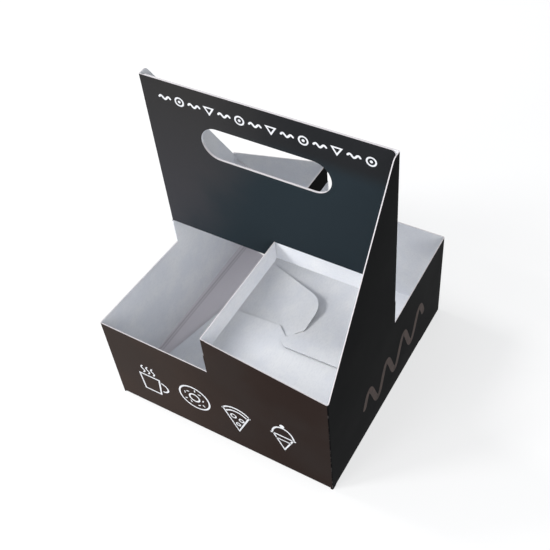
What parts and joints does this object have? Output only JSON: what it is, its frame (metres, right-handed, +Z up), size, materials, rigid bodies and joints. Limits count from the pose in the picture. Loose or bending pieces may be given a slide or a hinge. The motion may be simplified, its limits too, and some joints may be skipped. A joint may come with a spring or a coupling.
{
  "type": "cup carrier",
  "caption": "Cardboard drinks carrier folded from one sheet, with open cells for cups, an upright two-ply handle with a hand hole, and an interlocked base.",
  "frame": {"origin": "middle of the square base, on the surface the carrier stands on", "axes": "+Z up, X along the handle, +Y away from the viewer; the wall at -Y has its low rim towards -X"},
  "size_m": [0.19, 0.19, 0.242],
  "materials": {
    "board": "satin printed film outside, uncoated pale board inside"
  },
  "bodies": {
    "root": {"carrier": "board"}
  },
  "joints": []
}
